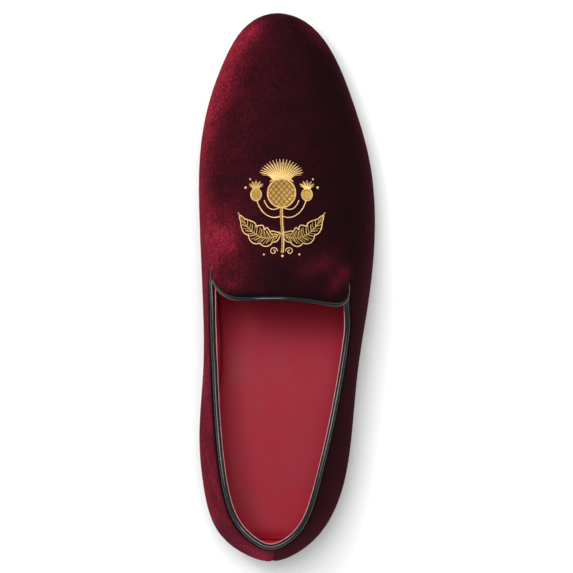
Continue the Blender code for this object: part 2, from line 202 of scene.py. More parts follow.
# Painted sheen patches, where it shows bright or dark besides, in the columns of the soft
# forms, with a strength for the height.
PAINTED_SHEEN_SPOTS = (
    (23, 35, 15, 9, 10, 0.34),
    (33, 31, 16, 10, 30, 0.18),
    (1, 30, 4, 4, 0, 0.22),
    (9, 24, 7, 5, 30, 0.10),
    (3, -28, 9, 4.5, -40, 0.40),
    (8.5, -31.5, 3.5, 3, 0, 0.25),
    (12, -17, 6, 13, 28, 0.24),
    (11, -25, 8, 7, 0, 0.10),
    (10, -39, 25, 5, 0, -0.08),
    (6, 5, 11, 13, 0, -0.15),
    (82, 6, 24, 16, 0, -0.06),
    (114, 32.5, 42, 7.5, -20, 0.38),
    (138, 20, 9, 7, -40, 0.26),
    (139, -14, 13, 3, 43, 0.36),
    (92, 22, 20, 9, -12, 0.06),
    (-147, 13, 5, 7, 0, 0.3),
)

# The lining turns in at the back of the seat and meets the sock along its rear end.
COVE_LINE = -139.2 * MM
COVE_BOW = 1.5
COVE_POWER = 2.2
COVE_TOP = 42 * MM
COVE_FLOOR = 20 * MM

# Sole, sock and heel. Each end is the station of its corners and of its bowed middle.
SOLE_REAR = (0.004, 0.0)
SOCK_REAR = (0.0288, 0.0238)
SOLE_FRONT = (0.996, 1.0)
SOLE_ROUND = 1.0 * MM
SOCK_INSET = WALL + 0.1 * MM
SOCK_THICKNESS = 3 * MM
SOCK_ROUND = 0.7 * MM
SOCK_CROWN = 1.1 * MM
SOCK_SINK = 0.6 * MM
SOCK_SIDE_POWER = 6
SOCK_END_POWER = 40
BREAST_BOW = 2 * MM
HEEL_TOP = HEEL_HEIGHT - 0.06 * MM
HEEL_TAPER = 1.5 * MM
HEEL_FOOT = ((0.0, 0.8 * MM), (0.6 * MM, 0.15 * MM), (1.3 * MM, 0.0))
HEEL_SHOULDER = ((HEEL_TOP - 0.5 * MM, 0.0), (HEEL_TOP, 0.3 * MM))
GROOVES = (4.6 * MM, 7.7 * MM, 10.8 * MM)
GROOVE_HALF = 0.25 * MM
GROOVE_DEPTH = 0.28 * MM

# Gold sprig on the vamp: a thistle with two leaves and two buds. Its drawing is in
# millimetres off its centre, across to the outer side and up to the toe.
SPRIG_ALONG = 44 * MM
SPRIG_ACROSS = 2.7 * MM
SURFACE_STEP = 0.2 * MM
BULB, BULB_HALVES, BULB_DOME = (0.0, 7.0), (7.4, 7.6), 1.3
BUD, BUD_HALVES, BUD_DOME = (13.8, 6.2), (2.7, 3.1), 0.7
BULB_RIM = ((-6.4, 13.2), (-3, 15.6), (3, 15.6), (6.4, 13.2))
STEM = ((0, -0.6), (-0.6, -9), (1.6, -16), (0.4, -25.5))
STEM_HALF = 0.45
TWIG = ((0.6, -5.5), (4, -7.5), (11, -6), (13.4, 3.4))
SEPAL = ((1.0, -0.8), (5.5, -3.6), (8.2, -0.6), (9.4, 3.2))
LEAF_RIB = ((0.6, -14.5), (7, -21), (17, -17), (23.5, -3.5))
LEAF_HALF = 6.2
LEAF_SIDES = ((1.0, 0.84), (-0.8, -0.64))
SCROLL, SCROLL_RADIUS = (4.3, -24.6), 2.2
SIDE_KNOTS = ((19.5, 10.0, 0.8), (17.0, 14.6, 0.6), (9.6, -26.4, 0.6))
FOOT_KNOT = (0.5, -27.2, 0.8)
KNOT_PROFILE = (0.25, 0.8, 1.0, 0.8, 0.25)
BULB_CORD, BUD_CORD, RIM_CORD, STEM_CORD = 0.38, 0.32, 0.34, 0.4
RIB_CORD, FINE_CORD, SCROLL_CORD = 0.32, 0.3, 0.26
FILL_THREAD, FAN_THREAD, LATTICE_THREAD, VEIN_THREAD = 0.23, 0.26, 0.2, 0.17
THREAD_SIDES = 5
THREAD_FLAT = 0.8
THREAD_END = 0.55
CORD_PITCH = 1.5
STITCH_LENGTH = 1.9
STITCH_PITCH = 0.42
STITCH_ROW = 0.78 * STITCH_LENGTH
SHORTEST_STITCH = 0.35
LATTICE_LINES = 6
LATTICE_SPACING = 3.3
LATTICE_SLOPE = 1.15

# Colours as linear values, from dark to light.
# The velvet's stops run from shaded to lit velvet: painted shade and light.
VELVET_SHADED_TO_LIT = (
    (0.0, (0.0082, 0.003, 0.0039)),
    (0.25, (0.024, 0.004, 0.0065)),
    (0.5, (0.06, 0.0055, 0.0105)),
    (0.75, (0.14, 0.009, 0.018)),
    (1.0, (0.28, 0.019, 0.038)),
)
SHEEN_TINT = (0.75, 0.16, 0.24, 1)
SOCK_COLOURS = ((0.24, 0.0065, 0.0175), (0.295, 0.009, 0.0235))
# Painted light: the lining, the same red leather as the sock, is painted lighter to make up for the
# shade inside the wall.
LIT_LINING_COLOURS = ((0.4, 0.014, 0.034), (0.48, 0.019, 0.044))
PIPING_COLOURS = ((0.002, 0.002, 0.0023), (0.004, 0.004, 0.0046))
SOLE_COLOURS = ((0.012, 0.01, 0.009), (0.024, 0.02, 0.018))
TREAD_COLOURS = ((0.024, 0.018, 0.014), (0.05, 0.039, 0.031))
GOLD_LIGHT = ((0.6, 0.37, 0.12), (0.96, 0.68, 0.33))
GOLD_FILL = ((0.24, 0.13, 0.012), (0.66, 0.43, 0.085))
GOLD_SHADE = ((0.07, 0.012, 0.008), (0.16, 0.04, 0.018))
RAW_EDGE_COLOUR = (0.6, 0.3, 0.32)
FLOOR_COLOUR = (0.92, 0.92, 0.92)

# Camera, floor, key light and sky. The scale is that of a 573 pixel picture.
PIXEL = 0.5474 * MM
PICTURE = 573
CAMERA_HEIGHT = 6.0
CENTRE_ALONG = 0.27 * MM
MIDDLE_HEIGHT = 25 * MM
FLOOR_HALF = 20
KEY_PLACE = (0.5, 0.7, 1.9)
KEY_SIZE = 0.3
KEY_ENERGY = 7
SKY_AXIS = (0.22, 0.10, 0.97)
SKY_RISE = {"From Min": 0.93, "From Max": 0.995, "To Min": 0.62, "To Max": 10.0}


def natural_spline(knots, values):
    """A smooth curve through the values, straight at its two ends."""
    x = np.array(knots, float)
    y = np.array(values, float)
    h = np.diff(x)
    count = len(x)
    matrix = np.eye(count)
    right = np.zeros(count)
    for i in range(1, count - 1):
        matrix[i, i - 1 : i + 2] = h[i - 1], 2 * (h[i - 1] + h[i]), h[i]
        right[i] = 6 * ((y[i + 1] - y[i]) / h[i] - (y[i] - y[i - 1]) / h[i - 1])
    bend = np.linalg.solve(matrix, right)

    def value(t):
        i = np.clip(np.searchsorted(x, t) - 1, 0, count - 2)
        a = (x[i + 1] - t) / h[i]
        b = 1 - a
        curve = ((a**3 - a) * bend[i] + (b**3 - b) * bend[i + 1]) * h[i] ** 2 / 6
        return a * y[i] + b * y[i + 1] + curve

    return value


def round_ends(station):
    """Turns a station into an angle, so that outlines close in a round end."""
    return np.arccos(np.clip(1 - 2 * np.asarray(station, float), -1, 1))


def station_of(angle):
    return (1 - np.cos(angle)) / 2


def table_curves(columns, rows):
    """A smooth curve for each column of a table, along its stations."""
    knots = [float(round_ends(row[0])) for row in rows]
    return {
        name: natural_spline(knots, [row[index] for row in rows])
        for index, name in enumerate(columns[1:], start=1)
    }


SECTION_CURVES = table_curves(SECTION_COLUMNS, SECTIONS)
COLLAR_CURVES = table_curves(COLLAR_COLUMNS, COLLAR)
HEEL_BULGE = float(SECTION_CURVES["bulge"](0.0))
SLIT_TURNS = np.sin(np.linspace(0.0, math.pi / 2, SLIT_COLUMNS + 1))


def smooth_step(t):
    t = np.clip(t, 0, 1)
    return t * t * (3 - 2 * t)


def unit(vectors):
    length = np.linalg.norm(vectors, axis=-1, keepdims=True)
    return vectors / np.maximum(length, 1e-12)


def sole_bottom(station):
    """Height of the sole's underside: heel seat, arch, tread and toe spring."""
    arch = (station - BREAST_STATION) / (TREAD_START - BREAST_STATION)
    spring = np.maximum(0, (station - TREAD_END) / (1 - TREAD_END))
    return HEEL_HEIGHT * (1 - smooth_step(arch)) + TOE_SPRING * spring**2


def section(station):
    """The sizes of the last's sections at the stations, in metres."""
    angle = round_ends(station)
    row = {name: curve(angle) for name, curve in SECTION_CURVES.items()}
    foot = sole_bottom(station) + SOLE_THICKNESS + CLEARANCE
    middle = (row["inner_edge"] + row["outer_edge"]) / 2 * BALL_WIDTH
    bulge = foot + row["bulge"] * INSTEP_HEIGHT
    sizes = {
        "foot": foot,
        "bulge": bulge,
        "crest": np.maximum(foot + row["crest"] * INSTEP_HEIGHT, bulge),
        "ridge": row["ridge"] * BALL_WIDTH,
    }
    for side in SIDES:
        edge = row[side + "_edge"] * BALL_WIDTH
        sizes[side + "_edge"] = edge
        sizes[side + "_foot"] = middle + (edge - middle) * row[side + "_foot"]
        sizes[side + "_full"] = row[side + "_full"]
    return sizes


def placed(station, across, height, sizes):
    """Points of the last in the shoe's frame, with its ends leaning in."""
    above = np.maximum(0, height - sizes["bulge"])
    above = above / (BACK_HEIGHT - HEEL_BULGE * INSTEP_HEIGHT)
    depth = np.maximum(sizes["bulge"] - sizes["foot"], MM)
    below = np.maximum(0, sizes["bulge"] - height) / depth
    at_back = np.maximum(0, 1 - station / BACK_REACH) ** 2
    at_toe = np.maximum(0, 1 - (1 - station) / TOE_REACH) ** 2
    lean = (BACK_LEAN * above**1.5 + BACK_TUCK * below**2) * at_back
    along = LENGTH * (station - 0.5) + lean - TOE_TUCK * below**2 * at_toe
    return np.stack(np.broadcast_arrays(along, across, height), axis=-1)


def wall_point(station, side, swing):
    """Points of the upper's outer face. A swing under 0 lies below the bulge."""
    station, swing = np.broadcast_arrays(station, swing)
    sizes = section(station)
    edge = sizes[side + "_edge"]
    power = 2 / sizes[side + "_full"]
    turn = np.clip(swing, 0, math.pi / 2)
    reach = np.maximum(np.cos(turn), 0) ** power
    rise = np.sin(turn) ** power
    inset = (edge - sizes[side + "_foot"]) / (1 - math.cos(UNDERCUT))
    drop = (sizes["bulge"] - sizes["foot"]) / math.sin(UNDERCUT)
    high_across = sizes["ridge"] + (edge - sizes["ridge"]) * reach
    across = np.where(swing < 0, edge - inset * (1 - np.cos(swing)), high_across)
    up = np.where(swing < 0, drop * np.sin(swing), (sizes["crest"] - sizes["bulge"]) * rise)
    return placed(station, across, sizes["bulge"] + up, sizes)


def wall_normal(station, side, swing):
    """Outward normals of the upper's outer face."""
    held = np.clip(swing, STEP - UNDERCUT, math.pi / 2 - 2 * STEP)
    up = wall_point(station, side, held + STEP) - wall_point(station, side, held - STEP)
    angle = round_ends(station)
    ahead = station_of(np.minimum(angle + STEP, math.pi))
    behind = station_of(np.maximum(angle - STEP, 0))
    along = wall_point(ahead, side, swing) - wall_point(behind, side, swing)
    return unit(np.cross(up, along) if side == INNER else np.cross(along, up))


def wall_face(station, side, swing):
    """Points and normals of the upper's outer face."""
    return wall_point(station, side, swing), wall_normal(station, side, swing)


def swing_at(station, side, height):
    """The swing at which a side of the section reaches a height over the sole."""
    sizes = section(station)
    span = np.maximum(sizes["crest"] - sizes["bulge"], MM)
    share = np.clip((sizes["foot"] + height - sizes["bulge"]) / span, 0, 1)
    return np.arcsin(share ** (sizes[side + "_full"] / 2))


def swing_per_metre(station, side, swing):
    """How far the swing turns for each metre along the wall."""
    rise = wall_point(station, side, swing + STEP) - wall_point(station, side, swing)
    return STEP / np.maximum(np.linalg.norm(rise, axis=-1), STEP * MM)


def collar_swing(station, side):
    """The swing of the collar line, which keeps on ahead of the slit to the toe."""
    held = np.minimum(station, SLIT_END)
    height = COLLAR_CURVES["height"](round_ends(held)) * BACK_HEIGHT
    swing = swing_at(held, side, height)
    inset = SLIT_INSET[side] * smooth_step((held - INSET_START) / (MOUTH_STATION - INSET_START))
    swing = swing + inset * swing_per_metre(held, side, swing)
    ahead = np.maximum(0, (station - SLIT_END) / (1 - SLIT_END))
    return swing * (1 - ahead) + TOE_SWING * ahead


def in_slit(share):
    """The station at a share of the slit, from its mouth to its end."""
    return MOUTH_STATION + (SLIT_END - MOUTH_STATION) * share


def slit_share(station):
    return np.clip((station - MOUTH_STATION) / (SLIT_END - MOUTH_STATION), 0, 1)


def open_share(station, side):
    """How far a place is along the open part of its side's slit."""
    return np.clip(slit_share(station) / OPEN_SHARE[side], 0, 1)


def tab_swing(station, side):
    """The swing of the tab's side: over the slit inside, set back a little outside."""
    swing = collar_swing(station, side)
    share = open_share(station, side)
    width = (SLIT_GAP if side == INNER else TAB_SETBACK) * (1 - share**2)
    return swing + width * swing_per_metre(station, side, swing)


def throat_edge(side, share):
    """Station of the tab's free edge, from the tab's side at 0 to the ridge at 1."""
    start = tab_swing(THROAT_STATION, side)
    at_start = wall_point(THROAT_STATION, side, start)
    at_ridge = wall_point(THROAT_STATION, side, math.pi / 2)
    points = wall_point(THROAT_STATION, side, start + (math.pi / 2 - start) * share)
    girth = np.linalg.norm(points - at_start, axis=-1)
    off_ridge = 1 - girth / np.linalg.norm(at_ridge - at_start)
    corner = np.clip(1 - girth / CORNER_GIRTH[side], 0, 1)
    rise = CORNER_RISE[side] * (1 - (1 - corner**2) ** (1 / CORNER_ROUND[side]))
    drop = THROAT_DROP[side] * smooth_step(off_ridge)
    return THROAT_STATION + (rise - drop) / LENGTH


def stations_between(first, last, columns):
    """Stations from first to last, closer together towards the shoe's round ends."""
    return station_of(np.linspace(round_ends(first), round_ends(last), columns + 1))


def spots(points, rows):
    """The sum of a table's soft oval spots on the upper, seen in plan."""
    total = np.zeros(points.shape[:-1])
    for along, across, length, width, turn, strength in rows:
        x = points[..., 0] / MM - along
        y = points[..., 1] / MM - across
        cos, sin = math.cos(math.radians(turn)), math.sin(math.radians(turn))
        u = (x * cos + y * sin) / length
        v = (y * cos - x * sin) / width
        total += strength * np.exp(-(u**2 + v**2))
    return total


def soft_form(points):
    """How far the velvet stands off its last in soft bumps and troughs."""
    return spots(points, SOFT_FORMS) * MM


def seam_across(points):
    """Where the slanted back seam runs, by height."""
    return SEAM_ACROSS + SEAM_SLANT * (points[..., 2] - SEAM_HEIGHT)


def back_seam(points):
    """Depth of the back seam's groove."""
    off_seam = (points[..., 1] - seam_across(points)) / SEAM_HALF
    at_back = smooth_step((SEAM_FRONT - points[..., 0]) / SEAM_FADE)
    return SEAM_DEPTH * np.exp(-(off_seam**2)) * at_back


def add_grid(mesh, points, flipped=False):
    """Adds a grid of points as quads, turned round where it is flipped."""
    verts = [[mesh.verts.new(point) for point in row] for row in points]
    for low, high in zip(verts, verts[1:]):
        for corners in zip(low, low[1:], high[1:], high):
            mesh.faces.new(corners[::-1] if flipped else corners)


def finish_piece(made, slot, *nodes):
    """Hands a piece to the frame and hides the nodes that it replaces. Its slot is not used."""
    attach(made, "root")
    if nodes:
        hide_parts(*nodes)
    return made


def new_object(name, data, material, sharp=60):
    """An object in the scene, smooth but for edges over an angle in degrees."""
    data.materials.append(material)
    data.shade_smooth()
    data.set_sharp_from_angle(angle=math.radians(sharp))
    made = bpy.data.objects.new(name, data)
    bpy.context.scene.collection.objects.link(made)
    return made


def object_from_bmesh(name, mesh, material, sharp=60):
    data = bpy.data.meshes.new(name)
    mesh.to_mesh(data)
    mesh.free()
    return new_object(name, data, material, sharp)


def thicken(made, thickness, offset):
    """Gives a sheet its thickness, inwards at an offset of -1 and outwards at 1."""
    wall = made.modifiers.new("wall", "SOLIDIFY")
    wall.thickness = thickness
    wall.offset = offset
    return wall


class Strands:
    """Collects tubes that make up one piece."""

    def __init__(self):
        self.verts = []
        self.faces = []
        self.count = 0

    def tube(self, points, normals, radii, sides, flat=1.0):
        """Adds a closed tube along the points, its flat side on the surface."""
        along = unit(np.gradient(points, axis=0))
        beside = unit(np.cross(along, normals))
        up = np.cross(beside, along)
        turn = np.arange(sides) * 2 * math.pi / sides
        ring = np.cos(turn)[None, :, None] * beside[:, None, :]
        ring = ring + flat * np.sin(turn)[None, :, None] * up[:, None, :]
        radii = np.broadcast_to(radii, len(points))
        verts = points[:, None, :] + radii[:, None, None] * ring
        first = self.count
        last = first + (len(points) - 1) * sides
        for a in range(first, last, sides):
            for j in range(sides):
                k = (j + 1) % sides
                self.faces.append((a + j, a + j + sides, a + k + sides, a + k))
        self.faces += [range(first, first + sides), range(last + sides - 1, last - 1, -1)]
        self.verts.append(verts.reshape(-1, 3))
        self.count = last + sides

    def build(self, name, material):
        data = bpy.data.meshes.new(name)
        data.from_pydata(np.concatenate(self.verts).tolist(), [], self.faces)
        return new_object(name, data, material)


# Materials


class Nodes:
    """Short calls for building one material's node tree."""

    def __init__(self, name):
        self.material = bpy.data.materials.new(name)
        self.material.use_nodes = True
        self.tree = self.material.node_tree
        self.shader = self.tree.nodes["Principled BSDF"]

    def add(self, kind, settings=None, **inputs):
        """Adds a node; an input is a value or another node's output."""
        node = self.tree.nodes.new("ShaderNode" + kind)
        for key, value in (settings or {}).items():
            setattr(node, key, value)
        self.fill(node, inputs)
        return node

    def fill(self, node, inputs):
        for key, value in inputs.items():
            self.feed(node, key.replace("_", " "), value)

    def feed(self, node, name, value):
        socket = node.inputs[name]
        if isinstance(value, bpy.types.NodeSocket):
            self.tree.links.new(value, socket)
        else:
            socket.default_value = value

    def set(self, **inputs):
        self.fill(self.shader, inputs)

    def place(self, scale=(1, 1, 1)):
        """Object coordinates, stretched by a scale along each axis."""
        here = self.add("TexCoord").outputs["Object"]
        return self.add("Mapping", Vector=here, Scale=scale).outputs["Vector"]

    def noise(self, scale, detail=3, rough=0.6, stretch=(1, 1, 1)):
        place = self.place(stretch)
        made = self.add("TexNoise", Vector=place, Scale=scale, Detail=detail, Roughness=rough)
        return made.outputs["Fac"]

    def weighted(self, *parts, base=0.0):
        """A weighted sum of values on top of a base."""
        for value, weight in parts:
            made = self.add("Math", {"operation": "MULTIPLY_ADD"})
            for index, part in enumerate((value, weight, base)):
                self.feed(made, index, part)
            base = made.outputs["Value"]
        return base

    def ramp(self, factor, *stops):
        made = self.add("ValToRGB", Fac=factor)
        line = made.color_ramp
        while len(line.elements) < len(stops):
            line.elements.new(1.0)
        for element, (place, colour) in zip(line.elements, stops):
            element.position = place
            element.color = (*colour, 1)
        return made.outputs["Color"]

    def blend(self, factor, dark, light):
        """From dark to light over the middle of a noise's range."""
        return self.ramp(factor, (0.3, dark), (0.7, light))

    def bump(self, height, strength, distance, normal=None):
        made = self.add("Bump", Height=height, Strength=strength, Distance=distance)
        if normal is not None:
            self.feed(made, "Normal", normal)
        return made.outputs["Normal"]


def velvet_material():
    """Burgundy velvet: its colour follows painted light, sheen and shade, painted on the mesh."""
    made = Nodes("velvet")
    painted_light = made.add("Attribute", {"attribute_name": "painted_light"}).outputs["Fac"]
    pile = made.noise(1300, rough=0.7)
    patch = made.noise(75, detail=4, rough=0.62)
    streak = made.noise(520, stretch=(0.5, 1, 0.8))
    # The base brings the sum's mean close to 0. Velvet painted light shows more of it than dark.
    speckle = made.weighted((pile, 1.6), (streak, 0.3), (patch, 0.5), base=-1.19)
    reach = made.weighted((painted_light, 1.5), base=0.35)
    colour = made.ramp(made.weighted((speckle, reach), base=painted_light), *VELVET_SHADED_TO_LIT)
    made.set(Base_Color=colour, Roughness=0.95, Specular_IOR_Level=0.0)
    made.set(Sheen_Weight=0.10, Sheen_Roughness=0.4, Sheen_Tint=SHEEN_TINT)
    fine = made.bump(pile, 0.5, 0.25 * MM)
    made.set(Normal=made.bump(streak, 0.35, 0.35 * MM, fine))
    return made.material


def leather_material(name, colours, rough=0.5, grain=900, specular=0.13):
    """Leather with a fine grain, a soft unevenness of colour and a satin face."""
    made = Nodes(name)
    cells = made.add(
        "TexVoronoi", {"feature": "SMOOTH_F1"}, Vector=made.place(), Scale=grain, Smoothness=0.6
    ).outputs["Distance"]
    cloud = made.noise(45)
    fine = made.noise(1.7 * grain)
    colour = made.blend(made.weighted((cloud, 0.75), (fine, 0.25)), *colours)
    shine = made.blend(cloud, (rough - 0.06,) * 3, (rough + 0.08,) * 3)
    made.set(Base_Color=colour, Roughness=shine, Specular_IOR_Level=specular)
    low = made.bump(cells, 0.3, 0.12 * MM)
    made.set(Normal=made.bump(fine, 0.3, 0.08 * MM, low))
    return made.material


def thread_material(name, colours, metallic, rough):
    """Metallic embroidery thread: twisted, with a soft glint."""
    made = Nodes(name)
    twist = made.noise(2600, detail=2)
    made.set(Base_Color=made.blend(twist, *colours), Roughness=rough)
    made.set(Metallic=metallic, Specular_IOR_Level=0.5)
    made.set(Normal=made.bump(twist, 0.4, 0.12 * MM))
    return made.material


def plain_material(name, colour, rough, scale=400):
    """A plain finish with slight unevenness, for edges and the floor."""
    made = Nodes(name)
    cloud = made.noise(scale)
    dark = tuple(part * 0.9 for part in colour)
    made.set(Base_Color=made.blend(cloud, dark, colour), Roughness=rough)
    made.set(Normal=made.bump(cloud, 0.1, 0.1 * MM))
    return made.material


# Upper


def quarter_grid(side):
    """Stations and swings of one side, from the foot up to the collar line."""
    stations = np.concatenate([
        stations_between(0.0, MOUTH_STATION, REAR_COLUMNS),
        in_slit(SLIT_TURNS)[1:],
        stations_between(SLIT_END, 1.0, FRONT_COLUMNS)[1:],
    ])
    top = collar_swing(stations, side)[:, None]
    low = np.linspace(-UNDERCUT, 0, FOOT_ROWS + 1)[None, :-1] + 0 * top
    shares = 1 - (1 - np.linspace(0, 1, WALL_ROWS + 1)) ** ROW_CROWDING
    swing = np.concatenate([low, top * shares[None, :]], axis=1)
    return stations[:, None], swing


def tab_grid(side):
    """Stations and swings of one half of the vamp, from the tab's edge to the toe."""
    shares = np.linspace(0, 1, TAB_ROWS + 1) ** TAB_CROWDING
    edge = throat_edge(side, shares)[:, None]
    ahead = stations_between(SLIT_END, 1.0, FRONT_COLUMNS)[None, 1:] + 0 * edge
    stations = np.concatenate([edge + (SLIT_END - edge) * SLIT_TURNS[None, :], ahead], axis=1)
    start = tab_swing(stations, side)
    return stations, start + (math.pi / 2 - start) * shares[:, None]


def edge_gap(points, edge):
    """How far each point lies from its own column's or row's edge point."""
    return np.linalg.norm(points - edge, axis=-1)


def rolled(gap):
    """How far the velvet turns in over the piping near its edge."""
    near = np.clip(1 - gap / EDGE_ROLL, 0, 1)
    return EDGE_ROLL * (1 - np.sqrt(1 - near**2)) * ROLL_SHARE


def before_slit_end(stations, side):
    """1 where an edge is open, 0 where the slit has closed."""
    return 1 - smooth_step((open_share(stations, side) - CLOSING_START) / (1 - CLOSING_START))


def tab_lift(stations, side, gap):
    """How far the tab stands off the quarter beside its slit."""
    lift = TAB_LIFT[side] * (1 - open_share(stations, side) ** 2)
    return lift * (1 - smooth_step(gap / LIFT_GIRTH))


def quarter_points(side, depth):
    """Points of a quarter at a depth in the wall, and their gaps to its open edge."""
    stations, swing = quarter_grid(side)
    points, normals = wall_face(stations, side, swing)
    gap = edge_gap(points, points[:, -1:])
    open_edge = before_slit_end(stations, side)
    if depth == 0:
        inward = rolled(gap) * open_edge
    else:
        inward = depth + EDGE_PAD * open_edge * (1 - smooth_step(gap / PAD_GIRTH))
    return points - normals * inward[..., None], gap + CLOSED_GAP * (1 - open_edge)


def tab_points(side, depth):
    """Points of one half of the vamp at a depth, and their gaps to its open edge."""
    stations, swing = tab_grid(side)
    points, normals = wall_face(stations, side, swing)
    side_gap = edge_gap(points, points[:1])
    free_gap = edge_gap(points, points[:, :1])
    open_edge = before_slit_end(stations, side)
    lift = tab_lift(stations, side, side_gap)
    roll = np.maximum(rolled(side_gap) * open_edge, rolled(free_gap)) if depth == 0 else depth
    gap = np.minimum(side_gap + CLOSED_GAP * (1 - open_edge), free_gap)
    return points + normals * (lift - roll)[..., None], gap


def wall_sheets(depth):
    """The wall's four grids at a depth: points, gaps, and whether their faces are flipped."""
    for side in SIDES:
        yield *quarter_points(side, depth), side == OUTER
        yield *tab_points(side, depth), side == INNER


def risen(value, strength, start, span):
    """A smooth rise up to a strength, from a start over a span."""
    return strength * smooth_step((value - start) / span)


def velvet_painted_light(points, normals, gap):
    """Painted light, sheen and shade on the velvet: 0 dark and 1 bright."""
    inward = normals[:, 1]
    steep_sheen = risen(normals[:, 2], *PAINTED_SHEEN_STEEP) * smooth_step(-inward)
    light_and_sheen = risen(inward, *PAINTED_LIGHT_INWARD) + risen(inward, *PAINTED_LIGHT_INNER_SIDE) + steep_sheen
    past_seam = smooth_step((points[:, 1] - seam_across(points)) / SEAM_SHEEN_BLUR + 0.5)
    at_back = smooth_step((SEAM_FRONT - points[:, 0]) / BACK_FADE)
    low_down = smooth_step((BACK_TOP - points[:, 2]) / BACK_SPAN)
    contrast = SEAM_SHEEN_CONTRAST - SHEEN_CONTRAST_LOSS * low_down
    back_sheen = BACK_SHEEN + BACK_SHEEN_RISE * low_down + contrast * past_seam
    light_and_sheen = light_and_sheen * (1 - at_back) + at_back * back_sheen + spots(points, PAINTED_SHEEN_SPOTS)
    return np.minimum(light_and_sheen, PAINTED_LIGHT_CAP) - PAINTED_EDGE_SHADE * np.exp(-gap / PAINTED_EDGE_SHADE_GIRTH)


def make_velvet():
    """The velvet shell: two quarters and the vamp with its tab, one closed sheet."""
    mesh = bmesh.new()
    gap_layer = mesh.verts.layers.float.new("edge_gap")
    for points, gap, flipped in wall_sheets(0):
        first = len(mesh.verts)
        add_grid(mesh, points, flipped)
        mesh.verts.ensure_lookup_table()
        for i, value in enumerate(gap.ravel()):
            mesh.verts[first + i][gap_layer] = value
    bmesh.ops.remove_doubles(mesh, verts=mesh.verts, dist=VELVET_WELD)
    mesh.normal_update()
    points = np.array([vert.co for vert in mesh.verts])
    normals = np.array([vert.normal for vert in mesh.verts])
    gap = np.array([vert[gap_layer] for vert in mesh.verts])
    formed = points + normals * (soft_form(points) - back_seam(points))[:, None]
    for vert, point in zip(mesh.verts, formed):
        vert.co = point
    mesh.verts.layers.float.remove(gap_layer)
    made = object_from_bmesh("velvet_upper", mesh, velvet_material())
    # Painted light, sheen and shade, kept on the mesh for the velvet's colour.
    painted_light = made.data.attributes.new("painted_light", "FLOAT", "POINT")
    painted_light.data.foreach_set("value", velvet_painted_light(points, normals, gap).astype(np.float32))
    thicken(made, VELVET, -1)
    return finish_piece(made, "velvet", "upper")


def coved(points):
    """Brings the lining forward at the back, in a hollow curve down to the sock."""
    down = np.clip((COVE_TOP - points[..., 2]) / (COVE_TOP - COVE_FLOOR), 0, 1)
    line = COVE_LINE + COVE_BOW * (points[..., 1] - SEAM_ACROSS) ** 2
    points[..., 0] += np.maximum(line - points[..., 0], 0) * down**COVE_POWER
    return points


def make_lining(leather):
    """The leather lining: inside the velvet, down to the insole."""
    mesh = bmesh.new()
    for points, _, flipped in wall_sheets(LINING_DEPTH):
        add_grid(mesh, coved(points[::2, ::2]), flipped)
    bmesh.ops.remove_doubles(mesh, verts=mesh.verts, dist=LINING_WELD)
    made = object_from_bmesh("lining", mesh, leather)
    thicken(made, LINING, -1)
    return finish_piece(made, "insole_leather")


# Piping


def collar_edge(side):
    """Points, normals and shares of the slit along the collar's edge, from the back."""
    stations = stations_between(0.0, in_slit(PIPED_SHARE[side]), COLLAR_POINTS)
    return *wall_face(stations, side, collar_swing(stations, side)), slit_share(stations)


def tab_edge(side):
    """Points, normals and shares of the slit along the tab's edge, from the ridge."""
    corner = float(throat_edge(side, 0.0))
    beside = np.linspace(in_slit(PIPED_SHARE[side]), corner, SLIT_POINTS + 1)[:-1]
    shares = np.linspace(0, 1, TAB_POINTS + 1) ** TAB_POINT_CROWDING
    stations = np.concatenate([beside, throat_edge(side, shares)])
    start = tab_swing(stations, side)
    across = np.concatenate([np.zeros(SLIT_POINTS), shares])
    points, normals = wall_face(stations, side, start + (math.pi / 2 - start) * across)
    lift = tab_lift(stations, side, edge_gap(points, wall_point(stations, side, start)))
    narrow = np.where(across > 0, 0.0, slit_share(stations))
    return (points + normals * lift[:, None])[::-1], normals[::-1], narrow[::-1]


def joined_run(first, second):
    """One run out of two with the same start: back along one, out along the other."""
    return [np.concatenate([a[::-1], b[1:]]) for a, b in zip(first, second)]


def beside_edge(points, normals, depth, reach):
    """Moves a run along the wall's edge into the wall and out past its edge."""
    along = unit(np.gradient(points, axis=0))
    outward = unit(np.cross(normals, along))
    formed = points + normals * soft_form(points)[:, None]
    depth = np.broadcast_to(depth, len(points))[:, None]
    reach = np.broadcast_to(reach, len(points))[:, None]
    return formed - normals * depth + outward * reach


def smoothed(points):
    """The run with its sharpest bends eased, as a cord in a bound edge lies."""
    points = points.copy()
    for _ in range(PIPING_SMOOTHING):
        points[1:-1] = (points[:-2] + 2 * points[1:-1] + points[2:]) / 4
    return points


def run_lengths(points):
    """How far along its run each point lies."""
    steps = np.linalg.norm(np.diff(points, axis=0), axis=1)
    return np.concatenate([[0], np.cumsum(steps)])


def tube_object(name, centre, normals, radii, sides, material):
    strands = Strands()
    strands.tube(centre, normals, radii, sides)
    return strands.build(name, material)


def make_piping(name, edge, node, leather, thin_start, thin_end):
    """A round leather piping, thinner where it runs into a slit."""
    points, normals, shares = edge
    run = run_lengths(points)
    thin = np.where(run < run[-1] / 2, thin_start, thin_end)
    fade = smooth_step(shares / SLIT_FADE) * thin
    to_tip = np.clip(np.minimum(run, run[-1] - run) / PIPING_TIP, 0, 1)
    radii = PIPING_RADIUS * (1 - fade) + SLIT_PIPING_RADIUS * fade
    radii *= TIP_SHARE + (1 - TIP_SHARE) * np.sqrt(to_tip)
    depth = PIPING_DEPTH * (1 - SLIT_DEPTH_SHARE * fade) + TIP_SINK * (1 - to_tip) ** 2
    centre = smoothed(beside_edge(points, normals, depth, radii * PIPING_REACH))
    made = tube_object(name, centre, normals, radii, PIPING_SIDES, leather)
    return finish_piece(made, "piping_leather", node)


